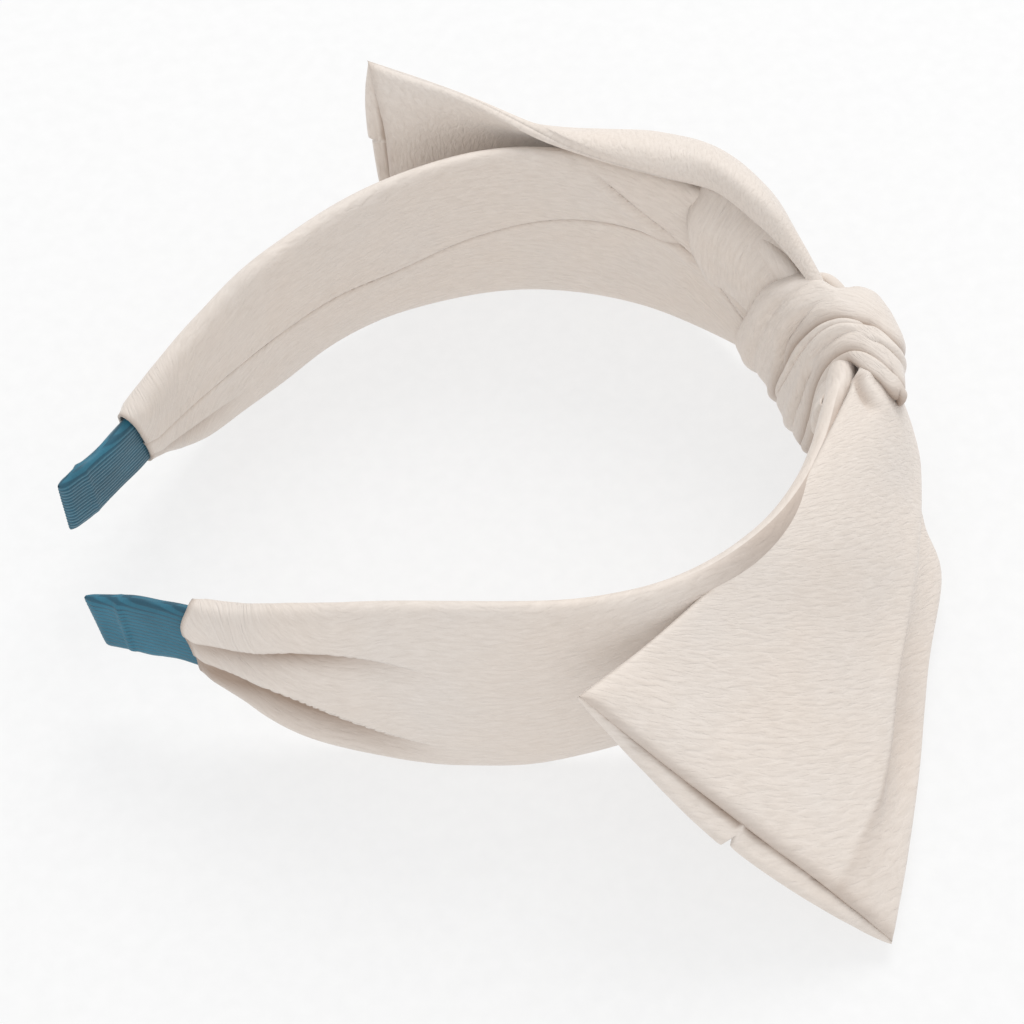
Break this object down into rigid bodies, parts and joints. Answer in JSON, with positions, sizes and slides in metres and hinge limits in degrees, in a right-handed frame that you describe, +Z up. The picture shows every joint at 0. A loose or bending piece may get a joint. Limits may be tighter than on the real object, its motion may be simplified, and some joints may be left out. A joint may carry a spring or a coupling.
{
  "type": "knotted headband",
  "caption": "Wide crepe-covered open hoop with a leaning wrapped knot off the crown, flat fabric tails and ribbon-bound tips.",
  "frame": {"origin": "middle of the footprint, on the table, with the headband lying on its side", "axes": "+X from the tips towards the crown and its knot, +Z up from the table, which is across the width of the band, and +Y towards the right arm"},
  "size_m": [0.1548, 0.181, 0.0508],
  "materials": {
    "crepe": "soft matte-satin crepe",
    "grosgrain_teal": "ribbed grosgrain",
    "moulded_plastic": "plain moulded strip",
    "foam": "thin closed-cell foam",
    "interlining": "non-woven stiffener",
    "thread": "spun sewing thread"
  },
  "bodies": {
    "crown": {"hoop_strip": "moulded_plastic", "foam_pad": "foam", "crown_sleeve": "crepe", "knot_outer_wrap": "crepe", "knot_inner_wrap": "crepe", "knot_lip_loop": "crepe", "knot_filling": "crepe", "knot_tack_stitches": "thread"},
    "left_arm": {"left_sleeve": "crepe", "left_sleeve_seam": "thread", "left_inner_panel": "crepe", "left_tip_ribbon": "grosgrain_teal"},
    "right_arm": {"right_sleeve": "crepe", "right_sleeve_seam": "thread", "right_inner_panel": "crepe", "right_tip_ribbon": "grosgrain_teal"},
    "left_tail": {"left_tail_cover": "crepe", "left_tail_interlining": "interlining", "left_tail_end_seam": "thread", "left_tail_back_seam": "thread"},
    "right_tail": {"right_tail_cover": "crepe", "right_tail_interlining": "interlining", "right_tail_end_seam": "thread", "right_tail_back_seam": "thread"}
  },
  "joints": [
    {"name": "left_arm_flex", "type": "hinge", "parent": "crown", "child": "left_arm", "pos_m": [0.05959, -0.00185, 0.02185], "axis": [0, 0, 1], "range_deg": [-3, 12], "stiffness_Nm_per_rad": 1, "deforming": ["hoop_strip", "foam_pad"]},
    {"name": "right_arm_flex", "type": "hinge", "parent": "crown", "child": "right_arm", "pos_m": [0.05393, 0.04285, 0.02185], "axis": [0, 0, -1], "range_deg": [-3, 12], "stiffness_Nm_per_rad": 1, "deforming": ["hoop_strip", "foam_pad"]},
    {"name": "left_tail_swing", "type": "hinge", "parent": "left_arm", "child": "left_tail", "pos_m": [0.07012, -0.00261, 0.02185], "axis": [0, 0, 1], "range_deg": [0, 30], "stiffness_Nm_per_rad": 0.02},
    {"name": "right_tail_swing", "type": "hinge", "parent": "right_arm", "child": "right_tail", "pos_m": [0.06462, 0.0404, 0.02185], "axis": [0, 0, -1], "range_deg": [0, 30], "stiffness_Nm_per_rad": 0.02}
  ]
}
